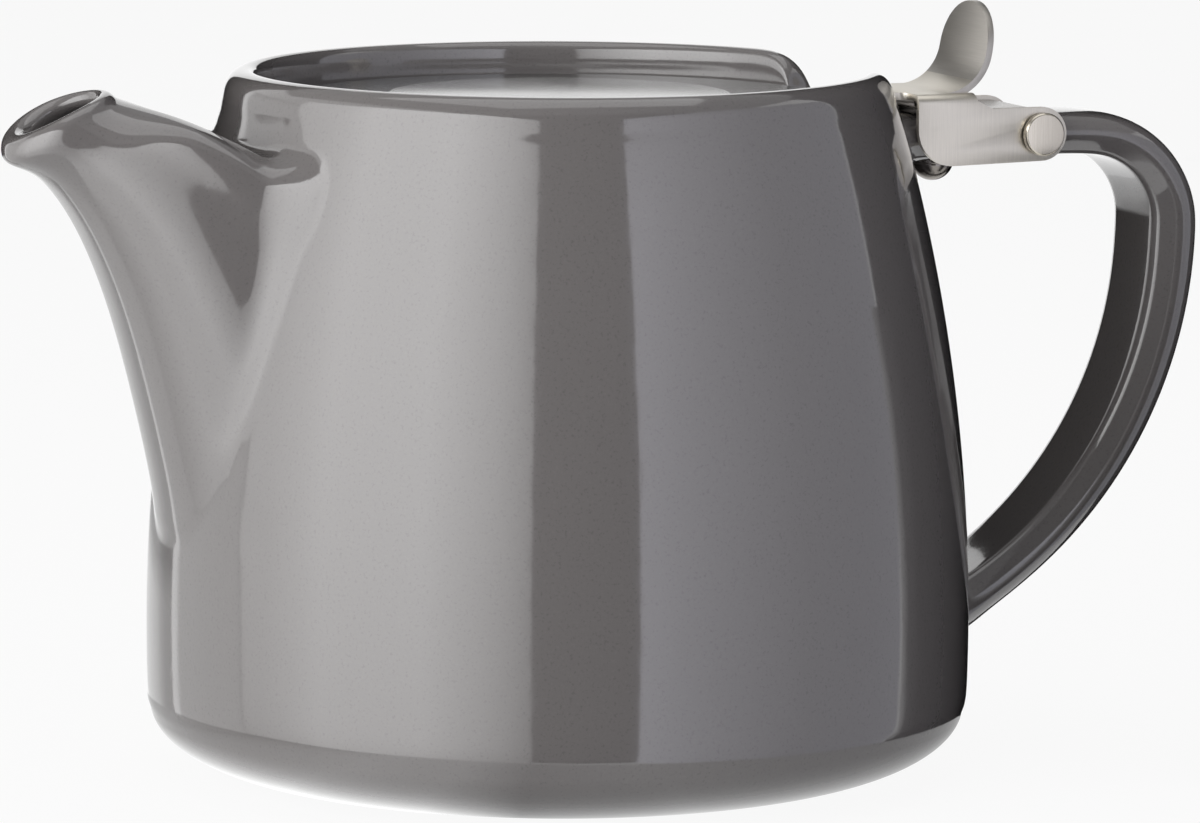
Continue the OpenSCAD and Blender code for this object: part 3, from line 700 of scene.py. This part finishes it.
bpy.ops.object.select_all(action="DESELECT")
bpy.ops.mesh.primitive_circle_add(vertices=64, radius=0.074, fill_type="NGON",
                                  location=(-0.007, 0.004, -0.0001))
sheet = bpy.context.object
sheet.name = "table_sheet"
bpy.ops.object.transform_apply(location=True)
gleam, shade, _ = finish_named("table_sheet_painted_light")
place = shade.node("TexCoord", {}, {}, out="Object")
ramps_per_metre = 7.1
across = (shade.node("SeparateXYZ", {}, {"Vector": place}, out=0) * math.cos(facing)
          - shade.node("SeparateXYZ", {}, {"Vector": place}, out=1) * math.sin(facing)
          ) * ramps_per_metre + 0.5
# Painted light: the sheet glows as lit paper would, brightest at the left and dimmest right of the
# middle.
painted_paper_light = across.ramp(((0.02, 0.3), (0.25, 0.74), (0.38, 0.66), (0.47, 0.28), (0.62, 0.4), (1, 0.2)))
shown(shade, lit(shade, painted_paper_light, 1.8))
sheet.data.materials.append(gleam)
sheet.visible_camera = sheet.visible_diffuse = sheet.visible_shadow = False

world = bpy.data.worlds.new("surround")
bpy.context.scene.world = world
world.use_nodes = True
sky = Shade(world.node_tree)
seen, shiny, through = (sky.node("LightPath", {}, {}, out=ray)
                        for ray in ("Is Camera Ray", "Is Glossy Ray", "Is Transmission Ray"))
backdrop = world.node_tree.nodes["Background"]
backdrop.inputs["Color"].default_value = white
level = (seen + shiny * 0.94 + through * 0.94 + 0.06).math("MINIMUM", 1.0)
world.node_tree.links.new(level.socket, backdrop.inputs["Strength"])

# Studio cards
# A large softbox at the left of the camera, a weaker one at the right, a reflector and black flags
# behind them, a dark room between, a small flag beside the handle, and a small softbox under a dim
# ceiling.


def card(name, left, right, distance, low, high, across_stops, up_stops, tone=(1, 1, 1),
         about=(0, 0)):
    """An upright studio card between two bearings round a place.

    Bearings count to the right from the camera, in degrees. The stops give the card's light from
    its left to its right edge, and a share of that from low to high."""
    bearing = math.radians((left + right) / 2)
    bpy.ops.object.select_all(action="DESELECT")
    bpy.ops.mesh.primitive_plane_add(size=1)
    piece = bpy.context.object
    piece.name = name
    piece.scale = (2 * distance * math.tan(math.radians(right - left) / 2), high - low, 1)
    piece.rotation_euler = (math.pi / 2, 0, bearing - facing)
    piece.location = (about[0] + math.sin(bearing - facing) * distance,
                      about[1] - math.cos(bearing - facing) * distance, (low + high) / 2)
    made, shade, _ = finish_named(name)
    place = shade.node("TexCoord", {}, {}, out="UV")
    across = shade.node("SeparateXYZ", {}, {"Vector": place}, out=0)
    up = shade.node("SeparateXYZ", {}, {"Vector": place}, out=1)
    light = across.ramp(across_stops) * up.ramp(up_stops)
    shown(shade, lit(shade, light.tint(tone + (1,))))
    piece.data.materials.append(made)
    piece.visible_camera = False


level_all_up = ((0, 1), (0.85, 1), (1, 0.8))
card("softbox_left", -95, -6.5, 0.75, -0.7, 0.6,
     ((0, 1.7), (0.137, 2.0), (0.258, 2.5), (0.36, 3.1), (0.635, 3.3), (0.852, 2.2), (1, 1.3)),
     ((0, 0.5), (0.3, 0.62), (0.43, 0.82), (0.58, 0.95), (0.7, 1), (1, 1.05)))
card("softbox_right", 22.5, 108.2, 0.75, -0.5, 0.6,
     ((0, 1.45), (0.12, 1.25), (0.24, 1.05), (0.41, 0.8), (0.555, 0.62), (0.8, 0.56), (1, 0.55)),
     level_all_up, tone=(0.95, 0.96, 1.06))
card("reflector_left", -132, -96, 0.8, -0.7, 0.35,
     ((0, 1.3), (0.1, 1.25), (0.16, 0.8), (1, 1.15)), level_all_up)
card("flag_right", 108.5, 170, 0.7, -0.4, 0.8, ((0, 0), (1, 0)), level_all_up)
card("flag_behind", -163, -132, 0.8, -0.7, 0.75, ((0, 0.8), (0.55, 0.75), (0.8, 0.5), (1, 0.5)),
     ((0, 1), (0.42, 1), (0.45, 0), (1, 0)))
card("dark_room", -40, 60, 1.6, -0.8, 1.6, ((0, 0.13), (1, 0.13)), level_all_up)
handle_side = (0.0745, -0.0072)
card("flag_handle", 22, 69, 0.0356, -0.012, 0.07, ((0, 0.55), (0.3, 0.06), (1, 0.02)),
     level_all_up, about=handle_side)
for name, size, height, strength in (("softbox_top", 0.9, 1.0, 1.1), ("dim_ceiling", 3, 1.3, 0.3)):
    panel = flat(name, size, (0, 0, height), down=True)
    made, shade, _ = finish_named(name)
    shown(shade, lit(shade, white, strength))
    panel.data.materials.append(made)
    panel.visible_camera = False
